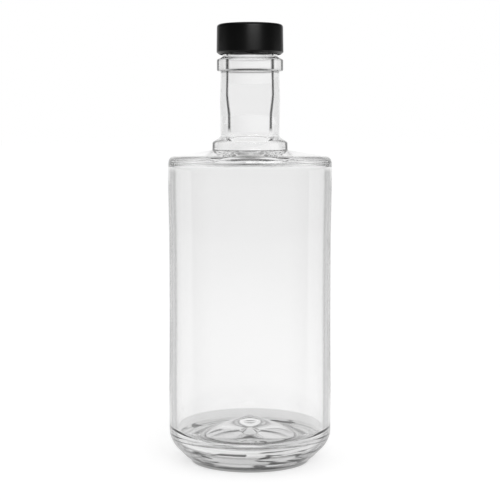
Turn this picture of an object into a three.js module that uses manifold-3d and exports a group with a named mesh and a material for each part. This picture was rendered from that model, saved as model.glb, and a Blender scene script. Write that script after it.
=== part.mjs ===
// A 750 ml clear glass spirits bottle with a screw finish, and its black moulded cap with a foam liner.
// Millimetres, +Z up. The origin is on the bottle's axis, in the plane that the base stands on.
import * as THREE from "three";
import { mergeVertices } from "three/addons/utils/BufferGeometryUtils.js";
import Module from "manifold-3d";

// Heel and bearing ring
const bodyHeelRadius = 43.55;
const heelChamferTopZ = 12;
const heelTopFillet = 12;
const heelFootRadius = 32;
const heelFootFillet = 14;
const bearingInnerRadius = 23.2;

// Punt, the hollow pushed up under the base
const puntRadius = 21.6;
const puntStepHeight = 2.4;
const puntDomeRadius = 4.2;
const puntDomeHeight = 7.2;
const puntTipRadius = 1.4;
const puntTipHeight = 10.2;
const puntFillet = 0.9;

// Body, a cylinder with a shallow label panel between its two contact bands
const bodyShoulderRadius = 43.6;
const bodyShoulderZ = 151;
const bodyPanelRadius = 43.15;
const bodyPanelTopZ = 112;
const bodyPanelBottomZ = 88;
const bodyHeelBandZ = 20;

// Shoulder
const shoulderCornerRadius = 43.45;
const shoulderCornerZ = 163.3;
const shoulderFillet = 3.5;
const shoulderRise = 3.45;

// Collar at the foot of the neck
const collarFootRadius = 20.1;
const collarTopRadius = 19.95;
const collarHeight = 4.3;
const collarTopFillet = 1.2;
const collarFootFillet = 0.6;
const collarConeHeight = 2.6;
const neckFootFillet = 2.4;

// Neck, slightly barrelled
const neckFootRadius = 15.65;
const neckBarrelRadius = 15.92;
const neckTopRadius = 15.6;
const neckHeight = 34.8;
const neckBarrelShare = 0.58;

// Bead under the finish
const beadRadius = 17.58;
const beadHeight = 6;
const beadConeHeight = 1.5;
const beadEdgeFillet = 0.65;
const beadRootFillet = 0.5;

// Screw finish
const finishWallRadius = 14.6;
const finishHeight = 13.5;
const lipOuterFillet = 0.8;
const lipInnerFillet = 0.9;
const threadPitch = 4.233;
const threadTurns = 1.5;
const threadDepth = 1;
const threadRootHalfWidth = 1.15;
const threadCrestHalfWidth = 0.55;
const threadStartHeight = 4.5;
const threadFadeAngle = Math.PI / 5;

// Inside of the bottle
const boreRadius = 12.13;
const boreWaistRadius = 11.05;
const boreShoulderRadius = 11.6;
const boreMouthFillet = 4.5;
const shoulderWall = 3.2;
const shoulderInnerFillet = 2.6;
const wallAtShoulder = 1.2;
const wallAtPanelTop = 2.55;
const wallAtPanelBottom = 2.9;
const wallAtHeel = 3.95;
const floorHeelZ = 12.6;
const floorHeelFillet = 6.5;
const floorSlopeRadius = 26;
const floorSlopeZ = 15;
const floorSlopeFillet = 18;
const floorDomeRadius = 6;
const floorDomeZ = 22.3;
const floorDomeFillet = 8;
const floorPeakZ = 24.2;

// Cap and liner
const runningClearance = 0.35;
const seatClearance = 0.3;
const linerSideClearance = 0.4;
const capWall = 1.75;
const capTopWall = 1.8;
const capDraft = 0.22;
const capTopFillet = 1.7;
const capBevelHeight = 1.2;
const capRimWidth = 0.4;
const capRimGap = 1.25;
const capThreadTurns = 1.25;
const capThreadRootHalfWidth = 0.85;
const capThreadCrestHalfWidth = 0.4;
const wadRingDepth = 0.65;
const wadRingHeight = 0.85;
const linerThickness = 1.2;
const linerEdgeChamfer = 0.2;

// Places that follow from the sizes above
const collarFootZ = shoulderCornerZ + shoulderRise;
const collarTopZ = collarFootZ + collarHeight;
const neckFootZ = collarTopZ + collarConeHeight;
const beadFootZ = neckFootZ + neckHeight;
const beadTopZ = beadFootZ + beadHeight;
const finishFootZ = beadTopZ + beadConeHeight;
const lipZ = finishFootZ + finishHeight;
const threadCrestRadius = finishWallRadius + threadDepth;
const threadStartZ = finishFootZ + threadStartHeight;
const linerFootZ = lipZ + seatClearance;
const capCeilingZ = linerFootZ + linerThickness + seatClearance;
const capTopZ = capCeilingZ + capTopWall;
const capRimZ = finishFootZ + capRimGap;
const capThreadRootRadius = threadCrestRadius + runningClearance;
const capThreadCrestRadius = finishWallRadius + runningClearance;
const capRadius = capThreadRootRadius + capWall;
const linerRadius = capThreadRootRadius - linerSideClearance;

// Facets: steps round the axis, and the widest angle of one step along a fillet
const roundSegments = 48;
const filletStep = Math.PI / 5;

const wasm = await Module();
wasm.setup();

const glass = new THREE.MeshStandardMaterial({
  color: 0xeef2f1,
  roughness: 0.03,
  metalness: 0,
  transparent: true,
  opacity: 0.35,
});
const blackPlastic = new THREE.MeshStandardMaterial({ color: 0x141414, roughness: 0.42, metalness: 0 });
const whiteFoam = new THREE.MeshStandardMaterial({ color: 0xe9e8e3, roughness: 0.9, metalness: 0 });

// A corner of a profile: radius from the axis, height, and the fillet that rounds it.
function corner(radius, z, fillet = 0) {
  return { at: new THREE.Vector2(radius, z), fillet };
}

// Points on a smooth curve through the given radii and heights, as sharp corners of a profile.
function smoothRun(pairs, steps) {
  const curve = new THREE.SplineCurve(pairs.map(([radius, z]) => new THREE.Vector2(radius, z)));
  return curve.getPoints(steps).map((point) => corner(point.x, point.y));
}

// Turns corners into profile points, with each fillet as a tangent arc.
function profileFrom(corners) {
  const points = [];
  corners.forEach((here, i) => {
    const before = corners[i - 1];
    const after = corners[i + 1];
    if (!here.fillet || !before || !after) {
      points.push(here.at.clone());
      return;
    }
    const back = before.at.clone().sub(here.at).normalize();
    const ahead = after.at.clone().sub(here.at).normalize();
    const halfAngle = Math.acos(THREE.MathUtils.clamp(back.dot(ahead), -1, 1)) / 2;
    const reach = here.fillet / Math.tan(halfAngle);
    const centre = here.at.clone().add(
      back.clone().add(ahead).normalize().multiplyScalar(here.fillet / Math.sin(halfAngle)),
    );
    const start = here.at.clone().addScaledVector(back, reach).sub(centre);
    const end = here.at.clone().addScaledVector(ahead, reach).sub(centre);
    const sweep = Math.atan2(start.cross(end), start.dot(end));
    const steps = Math.ceil(Math.abs(sweep) / filletStep);
    for (let k = 0; k <= steps; k++) {
      const turned = start.clone().rotateAround(new THREE.Vector2(), (sweep * k) / steps);
      points.push(turned.add(centre));
    }
  });
  return points;
}

// Revolves a profile of radius and height about the Z axis.
function revolved(points) {
  return new THREE.LatheGeometry(points, roundSegments).rotateX(Math.PI / 2);
}

// A closed geometry as a solid: shared vertices merged, and the flat triangles on the axis left out.
function solidFrom(geometry) {
  const bare = geometry.clone();
  bare.deleteAttribute("normal");
  bare.deleteAttribute("uv");
  const merged = mergeVertices(bare, 1e-4);
  const triangles = [];
  for (let i = 0; i < merged.index.count; i += 3) {
    const [a, b, c] = [0, 1, 2].map((k) => merged.index.getX(i + k));
    if (a !== b && b !== c && c !== a) triangles.push(a, b, c);
  }
  const mesh = new wasm.Mesh({
    numProp: 3,
    vertProperties: merged.attributes.position.array,
    triVerts: new Uint32Array(triangles),
  });
  return new wasm.Manifold(mesh);
}

// A solid back as a geometry that three.js can show.
function geometryFrom(solid) {
  const mesh = solid.getMesh();
  const geometry = new THREE.BufferGeometry();
  geometry.setAttribute("position", new THREE.BufferAttribute(mesh.vertProperties, 3));
  geometry.setIndex(new THREE.BufferAttribute(mesh.triVerts, 1));
  geometry.computeVertexNormals();
  return geometry;
}

// A helical thread. Its section is drawn with height along x and radius along y, extruded over the
// thread's angle, and each point is then wound round the axis. Its crest fades into the wall at both ends.
function threadSolid({ wallRadius, crestRadius, rootHalf, crestHalf, startZ, turns }) {
  const bury = 0.4 * Math.sign(wallRadius - crestRadius);
  const section = new THREE.Shape([
    new THREE.Vector2(-rootHalf, wallRadius + bury),
    new THREE.Vector2(-rootHalf, wallRadius),
    new THREE.Vector2(-crestHalf, crestRadius),
    new THREE.Vector2(crestHalf, crestRadius),
    new THREE.Vector2(rootHalf, wallRadius),
    new THREE.Vector2(rootHalf, wallRadius + bury),
  ]);
  const angle = turns * 2 * Math.PI;
  const steps = Math.round(turns * roundSegments);
  const bar = new THREE.ExtrudeGeometry(section, { depth: angle, steps, bevelEnabled: false });
  const place = bar.attributes.position;
  for (let i = 0; i < place.count; i++) {
    const turn = place.getZ(i);
    const fade = THREE.MathUtils.clamp(Math.min(turn, angle - turn) / threadFadeAngle, 0.02, 1);
    const proud = place.getY(i) - wallRadius;
    const stands = proud * (crestRadius - wallRadius) > 0;
    const radius = wallRadius + (stands ? proud * fade : proud);
    const z = startZ + place.getX(i) + (threadPitch * turn) / (2 * Math.PI);
    place.setXYZ(i, radius * Math.cos(turn), radius * Math.sin(turn), z);
  }
  return solidFrom(bar);
}

// Underside and outside of the glass, from the axis outwards and up to the lip.
function bottleOutside() {
  return [
    corner(0, puntTipHeight),
    corner(puntTipRadius, puntTipHeight, puntFillet),
    corner(puntDomeRadius, puntDomeHeight, 2 * puntFillet),
    corner(puntRadius, puntStepHeight, puntFillet),
    corner(bearingInnerRadius, 0, puntFillet),
    corner(heelFootRadius, 0, heelFootFillet),
    corner(bodyHeelRadius, heelChamferTopZ, heelTopFillet),
    ...smoothRun(
      [
        [bodyHeelRadius, bodyHeelBandZ],
        [bodyPanelRadius, bodyPanelBottomZ],
        [bodyPanelRadius, bodyPanelTopZ],
        [bodyShoulderRadius, bodyShoulderZ],
      ],
      6,
    ),
    corner(shoulderCornerRadius, shoulderCornerZ, shoulderFillet),
    corner(collarFootRadius, collarFootZ, collarFootFillet),
    corner(collarTopRadius, collarTopZ, collarTopFillet),
    corner(neckFootRadius, neckFootZ, neckFootFillet),
    ...smoothRun(
      [
        [neckFootRadius, neckFootZ + 2 * neckFootFillet],
        [neckBarrelRadius, neckFootZ + neckBarrelShare * neckHeight],
        [neckTopRadius, beadFootZ - 2 * beadRootFillet],
      ],
      5,
    ),
    corner(neckTopRadius, beadFootZ, beadRootFillet),
    corner(beadRadius, beadFootZ, beadEdgeFillet),
    corner(beadRadius, beadTopZ, beadEdgeFillet),
    corner(finishWallRadius, finishFootZ, beadRootFillet),
    corner(finishWallRadius, lipZ, lipOuterFillet),
  ];
}

// Inside of the glass, from the lip down the bore, under the shoulder and to the middle of the floor.
function bottleInside() {
  const shoulderInnerRadius = bodyShoulderRadius - wallAtShoulder;
  const floorWallRadius = bodyHeelRadius - wallAtHeel;
  const underShoulderZ = shoulderCornerZ - shoulderWall;
  return [
    corner(boreRadius, lipZ, lipInnerFillet),
    ...smoothRun(
      [
        [boreRadius, beadTopZ],
        [boreRadius, neckFootZ + 0.62 * neckHeight],
        [boreWaistRadius, neckFootZ + 0.26 * neckHeight],
        [boreShoulderRadius, collarTopZ],
      ],
      6,
    ),
    corner(boreShoulderRadius, collarFootZ - shoulderWall, boreMouthFillet),
    corner(shoulderInnerRadius, underShoulderZ, shoulderInnerFillet),
    ...smoothRun(
      [
        [shoulderInnerRadius, bodyShoulderZ],
        [bodyPanelRadius - wallAtPanelTop, bodyPanelTopZ],
        [bodyPanelRadius - wallAtPanelBottom, bodyPanelBottomZ],
        [floorWallRadius, floorHeelZ + 2 * floorHeelFillet],
      ],
      6,
    ),
    corner(floorWallRadius, floorHeelZ, floorHeelFillet),
    corner(floorSlopeRadius, floorSlopeZ, floorSlopeFillet),
    corner(floorDomeRadius, floorDomeZ, floorDomeFillet),
    corner(0, floorPeakZ),
  ];
}

// The bottle: one blown glass piece, with the raised thread on its finish.
function makeBottle() {
  const body = solidFrom(revolved(profileFrom([...bottleOutside(), ...bottleInside()])));
  const thread = threadSolid({
    wallRadius: finishWallRadius,
    crestRadius: threadCrestRadius,
    rootHalf: threadRootHalfWidth,
    crestHalf: threadCrestHalfWidth,
    startZ: threadStartZ,
    turns: threadTurns,
  });
  return geometryFrom(body.add(thread));
}

// The cap: a plain moulded shell with a rounded top edge, a bevelled rim, a wad ring and its own thread.
function makeCap() {
  const wadRingTopZ = linerFootZ - seatClearance;
  const shell = solidFrom(
    revolved(
      profileFrom([
        corner(0, capCeilingZ),
        corner(capThreadRootRadius, capCeilingZ),
        corner(capThreadRootRadius, wadRingTopZ),
        corner(capThreadRootRadius - wadRingDepth, wadRingTopZ - wadRingHeight / 2),
        corner(capThreadRootRadius, wadRingTopZ - wadRingHeight),
        corner(capThreadRootRadius, capRimZ),
        corner(capThreadRootRadius + capRimWidth, capRimZ),
        corner(capRadius, capRimZ + capBevelHeight),
        corner(capRadius - capDraft, capTopZ, capTopFillet),
        corner(0, capTopZ),
      ]),
    ),
  );
  // At the same height, glass and cap threads are widest together at the cap's crest or at the glass's.
  const glassSlope = (threadRootHalfWidth - threadCrestHalfWidth) / threadDepth;
  const halfWidthsTogether = threadRootHalfWidth - glassSlope * runningClearance + capThreadCrestHalfWidth;
  const thread = threadSolid({
    wallRadius: capThreadRootRadius,
    crestRadius: capThreadCrestRadius,
    rootHalf: capThreadRootHalfWidth,
    crestHalf: capThreadCrestHalfWidth,
    startZ: threadStartZ - halfWidthsTogether - runningClearance,
    turns: capThreadTurns,
  });
  return geometryFrom(shell.add(thread));
}

// The liner: a foam disc that the cap presses on the lip.
function makeLiner() {
  const linerTopZ = linerFootZ + linerThickness;
  return revolved(
    profileFrom([
      corner(0, linerFootZ),
      corner(linerRadius - linerEdgeChamfer, linerFootZ),
      corner(linerRadius, linerFootZ + linerEdgeChamfer),
      corner(linerRadius, linerTopZ - linerEdgeChamfer),
      corner(linerRadius - linerEdgeChamfer, linerTopZ),
      corner(0, linerTopZ),
    ]),
  );
}

// A named mesh for one piece.
function piece(name, geometry, material) {
  const mesh = new THREE.Mesh(geometry, material);
  mesh.name = name;
  return mesh;
}

const group = new THREE.Group();
group.add(piece("bottle", makeBottle(), glass));
group.add(piece("screw_cap", makeCap(), blackPlastic));
group.add(piece("cap_liner", makeLiner(), whiteFoam));

export default group;
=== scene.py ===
import math
import bmesh
import bpy
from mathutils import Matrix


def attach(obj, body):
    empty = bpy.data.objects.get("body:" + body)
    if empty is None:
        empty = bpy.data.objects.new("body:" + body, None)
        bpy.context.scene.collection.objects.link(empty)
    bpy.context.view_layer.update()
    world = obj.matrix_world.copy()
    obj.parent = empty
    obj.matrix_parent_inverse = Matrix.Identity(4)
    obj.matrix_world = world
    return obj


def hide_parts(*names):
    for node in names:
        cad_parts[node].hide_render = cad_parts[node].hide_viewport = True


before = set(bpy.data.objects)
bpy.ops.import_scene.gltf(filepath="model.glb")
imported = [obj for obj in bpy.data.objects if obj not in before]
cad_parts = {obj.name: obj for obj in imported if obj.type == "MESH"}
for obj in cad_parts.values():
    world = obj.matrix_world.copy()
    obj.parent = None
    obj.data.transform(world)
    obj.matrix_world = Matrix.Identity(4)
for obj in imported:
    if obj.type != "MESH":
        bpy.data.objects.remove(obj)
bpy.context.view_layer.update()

MM = 0.001
scene = bpy.context.scene
scene.view_settings.view_transform = "Standard"

# Camera: a long lens at the height of the shoulder, tipped down a little, as for a shop picture.
# The picture is square, and the bottle's axis stands in its middle.
PICTURE_PIXELS = 500
FOCAL_PIXELS = 1350
CAMERA_DISTANCE = 720.8 * MM
CAMERA_HEIGHT = 171.4 * MM
CAMERA_TILT_DOWN = math.radians(4.6)

camera_data = bpy.data.cameras.new("camera")
camera_data.sensor_width = 36
camera_data.lens = camera_data.sensor_width * FOCAL_PIXELS / PICTURE_PIXELS
camera = bpy.data.objects.new("camera", camera_data)
camera.location = (0, -CAMERA_DISTANCE, CAMERA_HEIGHT)
camera.rotation_euler = (math.pi / 2 - CAMERA_TILT_DOWN, 0, 0)
scene.collection.objects.link(camera)
scene.camera = camera

# Studio: a white room that lights the object softly. Shiny surfaces see a white backdrop behind the
# bottle and a dark room in front of it, and light through the glass sees the backdrop all round.
# Each pair of limits is a range of one component of the direction that is looked in, from -1 to 1.
ROOM_LIGHT = 0.72
DARK_ROOM = 0.02
BACKDROP_LIMITS = (0.7, 0.97)
CEILING = 0.6
CEILING_LIMITS = (0.8, 0.97)
THROUGH_GLASS_LEVEL = 0.96
THROUGH_GLASS_TOP = 0.45
TOP_LIMITS = (0.55, 0.9)
THROUGH_GLASS_LEFT = 0.9
LEFT_LIMITS = (-0.25, 0.08)

world = bpy.data.worlds.new("studio")
world.use_nodes = True
scene.world = world
room = world.node_tree
room.nodes.clear()
direction = room.nodes.new("ShaderNodeTexCoord")
split = room.nodes.new("ShaderNodeSeparateXYZ")
room.links.new(direction.outputs["Generated"], split.inputs[0])
rays = room.nodes.new("ShaderNodeLightPath")


def feed(tree, socket, value):
    """Sets a socket, or links it when the value is the output of another node."""
    if isinstance(value, bpy.types.NodeSocket):
        tree.links.new(value, socket)
    else:
        socket.default_value = value


def ranged(tree, source, low, high, at_low, at_high):
    """A value carried smoothly from one range to another."""
    ramp = tree.nodes.new("ShaderNodeMapRange")
    ramp.interpolation_type = "SMOOTHSTEP"
    names = ("Value", "From Min", "From Max", "To Min", "To Max")
    for name, value in zip(names, (source, low, high, at_low, at_high)):
        feed(tree, ramp.inputs[name], value)
    return ramp.outputs["Result"]


def calculated(tree, operation, first, second=0.0):
    """The result of one sum on two values."""
    result = tree.nodes.new("ShaderNodeMath")
    result.operation = operation
    feed(tree, result.inputs[0], first)
    feed(tree, result.inputs[1], second)
    return result.outputs[0]


def picked(tree, factor, when_no, when_yes):
    """One of two values, or a share of both."""
    pick = tree.nodes.new("ShaderNodeMix")
    for name, value in zip(("Factor", "A", "B"), (factor, when_no, when_yes)):
        feed(tree, pick.inputs[name], value)
    return pick.outputs["Result"]


mirrored = calculated(
    room,
    "MAXIMUM",
    ranged(room, split.outputs["Y"], *BACKDROP_LIMITS, DARK_ROOM, 1.0),
    ranged(room, split.outputs["Z"], *CEILING_LIMITS, DARK_ROOM, CEILING),
)
through = calculated(
    room,
    "MULTIPLY",
    ranged(room, split.outputs["Z"], *TOP_LIMITS, THROUGH_GLASS_LEVEL, THROUGH_GLASS_TOP),
    ranged(room, split.outputs["X"], *LEFT_LIMITS, THROUGH_GLASS_LEFT, 1.0),
)

# Light that passes the glass counts as glossy too, so its own level is picked after the mirrored one.
level = picked(room, rays.outputs["Is Glossy Ray"], ROOM_LIGHT, mirrored)
level = picked(room, rays.outputs["Is Transmission Ray"], level, through)
level = picked(room, rays.outputs["Is Camera Ray"], level, 1.0)
background = room.nodes.new("ShaderNodeBackground")
background.inputs["Color"].default_value = (1, 1, 1, 1)
room.links.new(level, background.inputs["Strength"])
room_out = room.nodes.new("ShaderNodeOutputWorld")
room.links.new(background.outputs[0], room_out.inputs["Surface"])

# Softbox: one wide lamp above the camera and to its right, which draws the band of light down the cap.
# Light that passes the glass doesn't see it.
SOFTBOX_TURN = math.radians(14)
SOFTBOX_DISTANCE = 1.3
SOFTBOX_WIDTH = 0.95
SOFTBOX_TALL = 0.6
SOFTBOX_WATTS = 7.6
SOFTBOX_HEIGHT = 0.74

softbox_data = bpy.data.lights.new("softbox", "AREA")
softbox_data.shape = "RECTANGLE"
softbox_data.size = SOFTBOX_WIDTH
softbox_data.size_y = SOFTBOX_TALL
softbox_data.energy = SOFTBOX_WATTS
softbox = bpy.data.objects.new("softbox", softbox_data)
softbox.location = (
    SOFTBOX_DISTANCE * math.sin(SOFTBOX_TURN),
    -SOFTBOX_DISTANCE * math.cos(SOFTBOX_TURN),
    SOFTBOX_HEIGHT,
)
softbox.rotation_euler = (math.pi / 2, 0, SOFTBOX_TURN)
softbox.visible_transmission = False
scene.collection.objects.link(softbox)

# Floor: a white table top. Seen directly or through the glass it is as white as the backdrop, less
# the bottle's soft shadow, partly rendered and partly painted. Shiny surfaces see it painted dark in
# front of the bottle, as a painted shade for the dark room there.
# The painted contact shade where the foot stands follows the distance from the axis, in millimetres.
FLOOR_HALF = 80.0
FLOOR_ALBEDO = 0.8
FLOOR_SHADOW_SHARE = 0.5
FLOOR_GLOW = 0.65
FLOOR_GLOW_THROUGH_GLASS = 0.65
FLOOR_GLOW_FAR = 0.54
FLOOR_FADE_FROM = 0.1
FLOOR_FADE_TO = 1.2
FLOOR_MIRRORED_IN_FRONT = 0.15
FLOOR_FRONT_LIMITS = (-0.08, 0.0)
CONTACT_REACH = 100
CONTACT_SHADE = [(0, 1), (23, 1), (25.5, 0.6), (29, 0.42), (31, 0.45), (32.2, 1), (CONTACT_REACH, 1)]

floor_bm = bmesh.new()
bmesh.ops.create_grid(floor_bm, x_segments=1, y_segments=1, size=FLOOR_HALF)
floor_mesh = bpy.data.meshes.new("floor")
floor_bm.to_mesh(floor_mesh)
floor_bm.free()
floor = bpy.data.objects.new("floor", floor_mesh)
scene.collection.objects.link(floor)

table_white = bpy.data.materials.new("table_white")
table_white.use_nodes = True
tree = table_white.node_tree
tree.nodes.clear()


def tone_ramp(tree, source, stops):
    """A grey tone that follows a value, from stops of position and tone."""
    ramp = tree.nodes.new("ShaderNodeValToRGB")
    tree.links.new(source, ramp.inputs[0])
    while len(ramp.color_ramp.elements) < len(stops):
        ramp.color_ramp.elements.new(1.0)
    for element, (position, tone) in zip(ramp.color_ramp.elements, stops):
        element.position = position
        element.color = (tone, tone, tone, 1)
    return ramp.outputs["Color"]


def blended(tree, kind, factor, first, second):
    """Two colours blended, by multiplying or by mixing."""
    blend = tree.nodes.new("ShaderNodeMix")
    blend.data_type = "RGBA"
    blend.blend_type = kind
    feed(tree, blend.inputs["Factor"], factor)
    feed(tree, blend.inputs[6], first)
    feed(tree, blend.inputs[7], second)
    return blend.outputs[2]


floor_place = tree.nodes.new("ShaderNodeTexCoord")
from_bottle = tree.nodes.new("ShaderNodeVectorMath")
from_bottle.operation = "LENGTH"
tree.links.new(floor_place.outputs["Object"], from_bottle.inputs[0])
radius = calculated(tree, "DIVIDE", from_bottle.outputs["Value"], CONTACT_REACH * MM)
# Painted contact shade around and under the foot, by the distance from the axis.
contact = tone_ramp(tree, radius, [(r / CONTACT_REACH, tone) for r, tone in CONTACT_SHADE])

floor_rays = tree.nodes.new("ShaderNodeLightPath")
floor_axes = tree.nodes.new("ShaderNodeSeparateXYZ")
tree.links.new(floor_place.outputs["Object"], floor_axes.inputs[0])
# Painted dark reflection: glossy rays see the floor in front of the bottle darkened.
in_front = ranged(tree, floor_axes.outputs["Y"], *FLOOR_FRONT_LIMITS, FLOOR_MIRRORED_IN_FRONT, 1.0)
mirrored_share = picked(tree, floor_rays.outputs["Is Glossy Ray"], 1.0, in_front)
mirrored_share = picked(tree, floor_rays.outputs["Is Transmission Ray"], mirrored_share, 1.0)
contact = blended(tree, "MULTIPLY", 1, contact, mirrored_share)
fading = tree.nodes.new("ShaderNodeMapRange")
tree.links.new(from_bottle.outputs["Value"], fading.inputs["Value"])
fading.inputs["From Min"].default_value = FLOOR_FADE_FROM
fading.inputs["From Max"].default_value = FLOOR_FADE_TO
fading.inputs["To Min"].default_value = FLOOR_GLOW_THROUGH_GLASS
fading.inputs["To Max"].default_value = FLOOR_GLOW_FAR
glow_level = picked(tree, floor_rays.outputs["Is Transmission Ray"], FLOOR_GLOW, fading.outputs["Result"])
glow = tree.nodes.new("ShaderNodeEmission")
tree.links.new(contact, glow.inputs["Color"])
tree.links.new(glow_level, glow.inputs["Strength"])
shaded = tree.nodes.new("ShaderNodeBsdfDiffuse")
shadow_share = (FLOOR_SHADOW_SHARE, FLOOR_SHADOW_SHARE, FLOOR_SHADOW_SHARE, 1)
tree.links.new(blended(tree, "MULTIPLY", 1, contact, shadow_share), shaded.inputs["Color"])
seen = tree.nodes.new("ShaderNodeAddShader")
tree.links.new(shaded.outputs[0], seen.inputs[0])
tree.links.new(glow.outputs[0], seen.inputs[1])

lit = tree.nodes.new("ShaderNodeBsdfDiffuse")
lit.inputs["Color"].default_value = (FLOOR_ALBEDO, FLOOR_ALBEDO, FLOOR_ALBEDO, 1)
looked_at = floor_rays.outputs["Is Camera Ray"]
for kind in ("Is Glossy Ray", "Is Transmission Ray"):
    looked_at = calculated(tree, "MAXIMUM", looked_at, floor_rays.outputs[kind])
floor_mix = tree.nodes.new("ShaderNodeMixShader")
tree.links.new(looked_at, floor_mix.inputs[0])
tree.links.new(lit.outputs[0], floor_mix.inputs[1])
tree.links.new(seen.outputs[0], floor_mix.inputs[2])
floor_out = tree.nodes.new("ShaderNodeOutputMaterial")
tree.links.new(floor_mix.outputs[0], floor_out.inputs["Surface"])
floor_mesh.materials.append(table_white)

# Glass bottle: one piece of clear flint glass, blown in a mould. Its foot, heel, body, shoulder,
# collar, neck, bead and finish are one section turned about the axis, with the cavity inside it.
# Each corner is a radius, a height and the fillet that rounds it, in millimetres.
FINISH_WALL = 14.6
FINISH_FOOT = 215.95
LIP = 229.4
THREAD_ROWS = 64
GLASS_STEPS = 240

underside = [
    (0, 10.2, 0),
    (1.4, 10.2, 1.2),
    (4.2, 7.2, 2.2),
    (21.6, 2.4, 1.0),
    (23.2, 0, 0.9),
]
outer_body = [
    (32, 0, 14),
    (43.55, 12, 12),
    (43.52, 40, 400),
    (43.15, 76, 500),
    (43.15, 122, 260),
    (43.6, 146, 160),
    (43.6, 156, 60),
    (43.45, 163.3, 3.5),
]
collar_and_neck = [
    (20.1, 166.75, 0.7),
    (19.95, 171.05, 1.2),
    (15.65, 173.65, 2.6),
    (15.65, 180, 60),
    (15.95, 194, 90),
    (15.6, 206, 60),
]
bead = [
    (15.6, 208.45, 0.5),
    (17.58, 208.45, 0.7),
    (17.58, 214.45, 0.65),
    (FINISH_WALL, FINISH_FOOT, 0.5),
]
finish_rows = [
    (FINISH_WALL, FINISH_FOOT + 0.9 + (LIP - FINISH_FOOT - 2) * k / THREAD_ROWS, 0)
    for k in range(THREAD_ROWS + 1)
]
lip_and_bore = [
    (FINISH_WALL, LIP, 0.8),
    (12.13, LIP, 0.9),
    (12.13, 200, 60),
    (11.05, 185, 60),
    (11.15, 174, 30),
    (11.6, 163.55, 4.5),
]
inner_body = [
    (42.4, 160.1, 2.6),
    (42.4, 150, 100),
    (40.65, 112, 300),
    (40.2, 84, 300),
    (39.6, 46, 300),
    (39.6, 12.6, 6.5),
    (26, 15, 18),
    (6, 22.3, 8),
    (0, 24.2, 0),
]


def turned_bmesh(corners, steps):
    """A section of filleted corners, turned once about the Z axis."""
    bm = bmesh.new()
    verts = [bm.verts.new((r * MM, 0, z * MM)) for r, z, fillet in corners]
    for a, b in zip(verts, verts[1:]):
        bm.edges.new((a, b))
    turns = []
    for before, here, after, (r, z, fillet) in zip(verts, verts[1:], verts[2:], corners[1:-1]):
        bend = (here.co - before.co).angle(after.co - here.co)
        if fillet and bend > 1e-4:
            segments = max(4, math.ceil(math.degrees(bend) / 6))
            turns.append((here, fillet * MM * math.tan(bend / 2), segments))
    for vert, reach, segments in turns:
        bmesh.ops.bevel(
            bm,
            geom=[vert],
            offset=reach,
            offset_type="OFFSET",
            segments=segments,
            profile=0.5,
            affect="VERTICES",
            material=-1,
            clamp_overlap=True,
        )
    bmesh.ops.spin(
        bm,
        geom=bm.verts[:] + bm.edges[:],
        cent=(0, 0, 0),
        axis=(0, 0, 1),
        angle=2 * math.pi,
        steps=steps,
        use_merge=True,
    )
    bmesh.ops.remove_doubles(bm, verts=bm.verts, dist=1e-6)
    bmesh.ops.recalc_face_normals(bm, faces=bm.faces)
    return bm


def finished_piece(name, bm, material, smooth_angle=math.radians(40)):
    """The bmesh as a smooth-shaded object with its material."""
    mesh = bpy.data.meshes.new(name)
    bm.to_mesh(mesh)
    bm.free()
    mesh.shade_smooth()
    mesh.set_sharp_from_angle(angle=smooth_angle)
    mesh.materials.append(material)
    obj = bpy.data.objects.new(name, mesh)
    scene.collection.objects.link(obj)
    return obj


# Right-hand thread on the finish, one and a half turns, fading into the wall at both ends.
THREAD_PITCH = 4.233
THREAD_TURNS = 1.5
THREAD_START = 220.45
THREAD_DEPTH = 1.0
THREAD_ROOT_HALF = 1.15
THREAD_CREST_HALF = 0.55
THREAD_FADE = math.pi / 5


def thread_height(vert, start, turns, root_half, crest_half):
    """How much of the thread's full depth stands at this point of the wall, from 0 to 1."""
    angle = math.atan2(vert.co.y, vert.co.x) % (2 * math.pi)
    best = 0.0
    for lap in range(math.ceil(turns)):
        along = angle + lap * 2 * math.pi
        if along > turns * 2 * math.pi:
            continue
        away = abs(vert.co.z / MM - start - THREAD_PITCH * along / (2 * math.pi))
        flank = min(1.0, max(0.0, (root_half - away) / (root_half - crest_half)))
        fade = min(1.0, along / THREAD_FADE, (turns * 2 * math.pi - along) / THREAD_FADE)
        best = max(best, flank * fade)
    return best


# Light passes many clear walls on its way, so its path is followed further than usual.
GLASS_BOUNCES = 40
MIRROR_BOUNCES = 24
scene.cycles.max_bounces = GLASS_BOUNCES
scene.cycles.transmission_bounces = GLASS_BOUNCES
scene.cycles.glossy_bounces = MIRROR_BOUNCES

# Tones of the glass: beside the clear tone, its dark lines and grey bands are painted shade. Each stop is
# a place and a tone. The place is a height or a radius in millimetres, or for a wall, an edge or a line
# how far the surface turns away, from 0 to 1.
CLEAR = 0.97
# Painted shade by how far the surface turns away: dark lines at the edges of the body and neck walls, the
# bead and the heel.
WALL_LINE = [
    (0, CLEAR), (0.12, CLEAR), (0.27, 0.9), (0.45, 0.84), (0.55, 0.74), (0.585, 0.48), (0.603, 0.3),
    (0.64, 0.28), (0.67, 0.36), (0.7, 0.32), (0.745, 0.22), (0.8, 0.4), (1, 0.25),
]
NECK_WALL = [(0, 0.99), (0.3, 0.99), (0.46, 0.8), (0.6, 0.94), (0.8, 0.94), (0.9, 0.6), (1, 0.3)]
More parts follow.
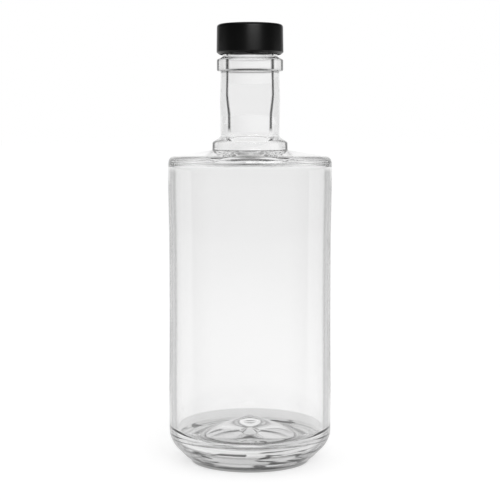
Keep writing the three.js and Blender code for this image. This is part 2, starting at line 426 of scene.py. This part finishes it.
# Painted dark line where the bore's edge shows through the neck, by height.
BORE_EDGE = [
    (178, 0.295), (186, 0.295), (196, 0.365), (208.4, 0.365), (208.8, 0.273), (214.3, 0.273), (216, 0.445),
]
BEAD = [(165.8, 1), (166.8, 0), (171.4, 0), (172.8, 1), (207.8, 1), (208.4, 0), (214.5, 0), (216, 1)]
BEAD_EDGE = [(0, 1), (0.6, 1), (0.7, 0.01), (1, 0)]
HEEL = [(0, 0), (12, 0), (14, 1)]
HEEL_EDGE = [(0, 1), (0.74, 1), (0.86, 0.08), (1, 0.03)]
SHOULDER = [(156, 0), (158.5, 1), (165.2, 1), (166.2, 0)]
# Painted grey rings on the cavity floor, by radius.
CAVITY_FLOOR = [(0, 0.9), (6, 0.96), (20, 0.88), (25, 0.9), (27, 1), (32.5, 1), (34.5, 0.6), (50, 0.6)]
# Painted shade by height: a thin dark line in the cavity just below the shoulder, and the punt painted
# dark below 2 mm.
CAVITY_TONES = [(0, CLEAR), (157.5, CLEAR), (157.9, 0.35), (158.3, CLEAR)]
PUNT_TONES = [(0, 0.1), (2.0, 0.1), (2.7, 0.98)]
# Painted shade by height on the outside: dark bands at the heel's foot and chamfer, and at the bead's
# edges.
HEEL_TONES = [
    (0, 0.02), (0.5, 0.05), (1.5, 0.6), (2.6, 0.9), (5.2, 0.85), (5.9, 0.12), (6.6, 0.85), (8.8, 0.88),
    (9.4, 0.2), (10.1, 0.95), (11.6, 0.7), (12.8, 1.0), (207.7, 1.0), (208.3, 0.08), (209.3, 1.0),
    (213.7, 1.0), (214.5, 0.12), (215.3, 1.0),
]
RAMP_HEIGHT = 240
RAMP_RADIUS = 50
NECK_FOOT = (164, 166)
BORE_LINE_FOOT = (175, 179)
BORE_LINE_WIDTH = (0.02, 0.07)
BORE_LINE_TONE = 0.02
CAVITY_FLOOR_EDGE = (18.4, 20)
# Painted dark flecks in the base: their height, stretch, threshold and tone.
HEEL_PAINTED_FLECKS_TOP = 12.5
HEEL_PAINTED_FLECKS_STRETCH = (70, 70, 350)
PUNT_PAINTED_FLECKS_TOP = 5.5
PUNT_PAINTED_FLECKS_STRETCH = (300, 300, 150)
PAINTED_FLECK_LIMITS = (0.56, 0.63)
PAINTED_FLECK_TONE = 0.04


def height_ramp(tree, height, stops):
    """A grey tone that follows the height, from stops of millimetres and tone."""
    return tone_ramp(tree, height, [(z / RAMP_HEIGHT, tone) for z, tone in stops])


def height_step(tree, height, limits, below, above):
    """One value below a height and another above it, with a soft step between two limits."""
    low, high = limits
    return ranged(tree, height, low / RAMP_HEIGHT, high / RAMP_HEIGHT, below, above)


def node_group(name, inputs, outputs):
    """A shader node group with its sockets, and its input and output nodes."""
    group = bpy.data.node_groups.new(name, "ShaderNodeTree")
    for side, sockets in (("INPUT", inputs), ("OUTPUT", outputs)):
        for socket_name, kind in sockets:
            group.interface.new_socket(name=socket_name, in_out=side, socket_type="NodeSocket" + kind)
    return group, group.nodes.new("NodeGroupInput").outputs, group.nodes.new("NodeGroupOutput").inputs


def placed_group(tree, group, **values):
    """The group placed in a material, with its own values."""
    node = tree.nodes.new("ShaderNodeGroup")
    node.node_tree = group
    for name, value in values.items():
        feed(tree, node.inputs[name], value)
    return node.outputs


# Painted dark flecks: painted shade in the base, seen up to a height, for the dark glints of the small
# pips and ripples that a mould leaves there.
painted_flecks, given, result = node_group(
    "painted_dark_flecks",
    [("Place", "Vector"), ("Stretch", "Vector"), ("Height", "Float"), ("Top", "Float")],
    [("Tone", "Float")],
)
stretched = painted_flecks.nodes.new("ShaderNodeMapping")
painted_flecks.links.new(given["Place"], stretched.inputs["Vector"])
painted_flecks.links.new(given["Stretch"], stretched.inputs["Scale"])
grain = painted_flecks.nodes.new("ShaderNodeTexNoise")
grain.inputs["Scale"].default_value = 1
grain.inputs["Detail"].default_value = 1
painted_flecks.links.new(stretched.outputs[0], grain.inputs["Vector"])
dark = ranged(painted_flecks, grain.outputs["Fac"], *PAINTED_FLECK_LIMITS, 1, PAINTED_FLECK_TONE)
fade_from = calculated(painted_flecks, "SUBTRACT", given["Top"], 1 / RAMP_HEIGHT)
clear_above = ranged(painted_flecks, given["Height"], fade_from, given["Top"], 0, 1)
painted_flecks.links.new(calculated(painted_flecks, "MAXIMUM", dark, clear_above), result["Tone"])


def glass_skin(name, height_tones, wall_lines=False, floor_rings=False, painted_fleck_stretch=None, painted_fleck_top=0):
    """Clear glass with painted shade: its edges and thick places are painted greyer, as they look in a
    real bottle.
    """
    material = bpy.data.materials.new(name)
    material.use_nodes = True
    tree = material.node_tree
    body = tree.nodes["Principled BSDF"]
    body.inputs["Roughness"].default_value = 0.0
    body.inputs["IOR"].default_value = 1.52
    body.inputs["Transmission Weight"].default_value = 1.0
    place = tree.nodes.new("ShaderNodeTexCoord")
    axes = tree.nodes.new("ShaderNodeSeparateXYZ")
    tree.links.new(place.outputs["Object"], axes.inputs[0])
    height = calculated(tree, "DIVIDE", axes.outputs["Z"], RAMP_HEIGHT * MM)
    # Painted shade: dark bands and lines by height.
    tone = height_ramp(tree, height, height_tones)
    if wall_lines:
        # Painted shade: the walls, neck, bead and heel are painted darker where the surface turns away, as
        # dark edge lines.
        facing = tree.nodes.new("ShaderNodeLayerWeight").outputs["Facing"]
        in_neck = height_step(tree, height, NECK_FOOT, 0, 1)
        body_wall = tone_ramp(tree, facing, WALL_LINE)
        neck_wall = tone_ramp(tree, facing, NECK_WALL)
        wall = blended(tree, "MIX", in_neck, body_wall, neck_wall)
        # Painted shade: a thin dark line where the bore's edge shows through the neck wall.
        off_edge = calculated(tree, "SUBTRACT", facing, height_ramp(tree, height, BORE_EDGE))
        off_edge = calculated(tree, "ABSOLUTE", off_edge)
        line = ranged(tree, off_edge, *BORE_LINE_WIDTH, BORE_LINE_TONE, 1)
        below_line = height_step(tree, height, BORE_LINE_FOOT, 1, 0)
        line = calculated(tree, "MAXIMUM", line, below_line)
        bead_edge = tone_ramp(tree, facing, BEAD_EDGE)
        rounded = calculated(tree, "MAXIMUM", bead_edge, height_ramp(tree, height, BEAD))
        tone = blended(tree, "MULTIPLY", 1, tone, rounded)
        heel_edge = tone_ramp(tree, facing, HEEL_EDGE)
        chamfer = calculated(tree, "MAXIMUM", heel_edge, height_ramp(tree, height, HEEL))
        tone = blended(tree, "MULTIPLY", 1, tone, chamfer)
        upright = calculated(tree, "SUBTRACT", 1, height_ramp(tree, height, SHOULDER))
        tone = blended(tree, "MULTIPLY", upright, tone, wall)
        tone = blended(tree, "MULTIPLY", 1, tone, line)
    if floor_rings:
        # Painted shade: grey rings on the cavity floor, by the distance from the axis.
        across = tree.nodes.new("ShaderNodeCombineXYZ")
        tree.links.new(axes.outputs["X"], across.inputs["X"])
        tree.links.new(axes.outputs["Y"], across.inputs["Y"])
        out = tree.nodes.new("ShaderNodeVectorMath")
        out.operation = "LENGTH"
        tree.links.new(across.outputs[0], out.inputs[0])
        radius = calculated(tree, "DIVIDE", out.outputs["Value"], RAMP_RADIUS * MM)
        rings = tone_ramp(tree, radius, [(r / RAMP_RADIUS, tone) for r, tone in CAVITY_FLOOR])
        above = height_step(tree, height, CAVITY_FLOOR_EDGE, 0, 1)
        tone = blended(tree, "MULTIPLY", 1, tone, calculated(tree, "MAXIMUM", rings, above))
    if painted_fleck_stretch:
        # Painted shade: dark flecks in the base.
        fleck = placed_group(
            tree,
            painted_flecks,
            Place=place.outputs["Object"],
            Stretch=painted_fleck_stretch,
            Height=height,
            Top=painted_fleck_top / RAMP_HEIGHT,
        )
        tone = blended(tree, "MULTIPLY", 1, tone, fleck["Tone"])
    tree.links.new(tone, body.inputs["Base Color"])
    return material


outer_glass = glass_skin(
    "flint_glass",
    HEEL_TONES,
    wall_lines=True,
    painted_fleck_stretch=HEEL_PAINTED_FLECKS_STRETCH,
    painted_fleck_top=HEEL_PAINTED_FLECKS_TOP,
)
cavity_glass = glass_skin("flint_glass_cavity", CAVITY_TONES, floor_rings=True)
punt_glass = glass_skin(
    "flint_glass_punt",
    PUNT_TONES,
    painted_fleck_stretch=PUNT_PAINTED_FLECKS_STRETCH,
    painted_fleck_top=PUNT_PAINTED_FLECKS_TOP,
)

# The three skins lie on the outside, in the cavity with its bore, and in the punt.
CAVITY_SKIN = 1
PUNT_SKIN = 2
PUNT_RIM = 23.2
PUNT_TOP = 11
BORE_REACH = 12.9
CAVITY_REACH = 42.6
CAVITY_FOOT = 12.3
CAVITY_TOP = 163.1

outside = underside + outer_body + collar_and_neck + bead + finish_rows
bottle_bm = turned_bmesh(outside + lip_and_bore + inner_body, GLASS_STEPS)
for vert in bottle_bm.verts:
    wall = math.hypot(vert.co.x, vert.co.y)
    if abs(wall - FINISH_WALL * MM) < 1e-6 and vert.co.z > FINISH_FOOT * MM:
        raised = THREAD_DEPTH * MM * thread_height(
            vert, THREAD_START, THREAD_TURNS, THREAD_ROOT_HALF, THREAD_CREST_HALF
        )
        vert.co.x *= (wall + raised) / wall
        vert.co.y *= (wall + raised) / wall
for face in bottle_bm.faces:
    middle = face.calc_center_median() / MM
    out = math.hypot(middle.x, middle.y)
    if out < PUNT_RIM and middle.z < PUNT_TOP:
        face.material_index = PUNT_SKIN
    elif out < BORE_REACH or (out < CAVITY_REACH and CAVITY_FOOT < middle.z < CAVITY_TOP):
        face.material_index = CAVITY_SKIN
glass_bottle = finished_piece("glass_bottle", bottle_bm, outer_glass, math.radians(60))
glass_bottle.data.materials.append(cavity_glass)
glass_bottle.data.materials.append(punt_glass)
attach(glass_bottle, "bottle")
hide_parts("bottle")

# Screw cap: one injection-moulded shell in satin black plastic, with a rounded top edge and a
# bevelled rim. Inside are the wad ring and a thread that matches the glass.
CAP_ROOT = 15.95
CAP_RIM = 217.2
CAP_TOP = 233.0
CAP_TOP_WALL = 1.8
CAP_FOOT_RADIUS = 17.7
CAP_TOP_RADIUS = 17.48
CAP_TOP_ROUND = 1.6
CAP_BEVEL = 1.2
CAP_RIM_FLAT = 0.4
WAD_RING = 229.4
WAD_RING_REACH = 0.65
WAD_RING_TALL = 0.85
CAP_THREAD_TOP = WAD_RING - 1.1
CAP_THREAD_FOOT = CAP_RIM + 0.3

cap_rows = [
    (CAP_ROOT, CAP_THREAD_TOP - (CAP_THREAD_TOP - CAP_THREAD_FOOT) * k / THREAD_ROWS, 0)
    for k in range(THREAD_ROWS + 1)
]
cap_section = [
    (0, CAP_TOP - CAP_TOP_WALL, 0),
    (CAP_ROOT, CAP_TOP - CAP_TOP_WALL, 0.3),
    (CAP_ROOT, WAD_RING, 0),
    (CAP_ROOT - WAD_RING_REACH, WAD_RING - 0.43, 0.2),
    (CAP_ROOT, WAD_RING - WAD_RING_TALL, 0),
    *cap_rows,
    (CAP_ROOT, CAP_RIM, 0.12),
    (CAP_ROOT + CAP_RIM_FLAT, CAP_RIM, 0.15),
    (CAP_FOOT_RADIUS, CAP_RIM + CAP_BEVEL, 0.25),
    (CAP_TOP_RADIUS, CAP_TOP, CAP_TOP_ROUND),
    (0, CAP_TOP, 0),
]

CAP_THREAD_START = 218.76
CAP_THREAD_TURNS = 1.25
CAP_THREAD_ROOT_HALF = 0.85
CAP_THREAD_CREST_HALF = 0.4

# Moulded skin, on the cap and the liner: slight cloudy changes in gloss and a fine grain.
PORES_PER_CLOUD = 12
moulded_skin, given, result = node_group(
    "moulded_skin",
    [
        ("Place", "Vector"),
        ("Cloud Scale", "Float"),
        ("Smoothest", "Float"),
        ("Roughest", "Float"),
        ("Dent", "Float"),
    ],
    [("Roughness", "Float"), ("Normal", "Vector")],
)
clouds = moulded_skin.nodes.new("ShaderNodeTexNoise")
clouds.inputs["Detail"].default_value = 4
moulded_skin.links.new(given["Place"], clouds.inputs["Vector"])
moulded_skin.links.new(given["Cloud Scale"], clouds.inputs["Scale"])
gloss = ranged(moulded_skin, clouds.outputs["Fac"], 0.3, 0.7, given["Smoothest"], given["Roughest"])
moulded_skin.links.new(gloss, result["Roughness"])
pores = moulded_skin.nodes.new("ShaderNodeTexNoise")
moulded_skin.links.new(given["Place"], pores.inputs["Vector"])
pore_scale = calculated(moulded_skin, "MULTIPLY", given["Cloud Scale"], PORES_PER_CLOUD)
moulded_skin.links.new(pore_scale, pores.inputs["Scale"])
bump = moulded_skin.nodes.new("ShaderNodeBump")
bump.inputs["Strength"].default_value = 0.25
moulded_skin.links.new(given["Dent"], bump.inputs["Distance"])
moulded_skin.links.new(pores.outputs["Fac"], bump.inputs["Height"])
moulded_skin.links.new(bump.outputs["Normal"], result["Normal"])


def moulded_material(name, colour, **skin_values):
    """A plain moulded material with its own values of the moulded skin."""
    material = bpy.data.materials.new(name)
    material.use_nodes = True
    tree = material.node_tree
    body = tree.nodes["Principled BSDF"]
    body.inputs["Base Color"].default_value = colour
    place = tree.nodes.new("ShaderNodeTexCoord")
    skin = placed_group(tree, moulded_skin, Place=place.outputs["Object"], **skin_values)
    tree.links.new(skin["Roughness"], body.inputs["Roughness"])
    tree.links.new(skin["Normal"], body.inputs["Normal"])
    return material


CAP_BLACK = (0.003, 0.003, 0.003, 1)
CAP_SKIN = {"Cloud Scale": 90, "Smoothest": 0.31, "Roughest": 0.37, "Dent": 0.02 * MM}
CAP_SHINE = 0.35
CAP_STEPS = 192

black = moulded_material("black_satin_plastic", CAP_BLACK, **CAP_SKIN)
black.node_tree.nodes["Principled BSDF"].inputs["Specular IOR Level"].default_value = CAP_SHINE

cap_bm = turned_bmesh(cap_section, CAP_STEPS)
for vert in cap_bm.verts:
    wall = math.hypot(vert.co.x, vert.co.y)
    if abs(wall - CAP_ROOT * MM) < 1e-6 and vert.co.z < (WAD_RING - 1) * MM:
        raised = THREAD_DEPTH * MM * thread_height(
            vert, CAP_THREAD_START, CAP_THREAD_TURNS, CAP_THREAD_ROOT_HALF, CAP_THREAD_CREST_HALF
        )
        vert.co.x *= (wall - raised) / wall
        vert.co.y *= (wall - raised) / wall
cap = finished_piece("cap_shell", cap_bm, black)
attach(cap, "cap")
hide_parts("screw_cap")

# Cap liner: a disc cut from white closed-cell foam sheet, pressed in behind the cap's wad ring. It
# seals on the lip of the glass.
LINER_RADIUS = 15.55
LINER_FOOT = 229.7
LINER_THICK = 1.2
LINER_CHAMFER = 0.2
LINER_STEPS = 128
FOAM_WHITE = (0.8, 0.79, 0.76, 1)
FOAM_SKIN = {"Cloud Scale": 300, "Smoothest": 0.75, "Roughest": 0.9, "Dent": 0.05 * MM}

foam = moulded_material("liner_foam", FOAM_WHITE, **FOAM_SKIN)

liner_bm = turned_bmesh(
    [
        (0, LINER_FOOT, 0),
        (LINER_RADIUS - LINER_CHAMFER, LINER_FOOT, 0),
        (LINER_RADIUS, LINER_FOOT + LINER_CHAMFER, 0),
        (LINER_RADIUS, LINER_FOOT + LINER_THICK - LINER_CHAMFER, 0),
        (LINER_RADIUS - LINER_CHAMFER, LINER_FOOT + LINER_THICK, 0),
        (0, LINER_FOOT + LINER_THICK, 0),
    ],
    LINER_STEPS,
)
liner = finished_piece("liner_disc", liner_bm, foam, math.radians(30))
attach(liner, "liner")
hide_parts("cap_liner")
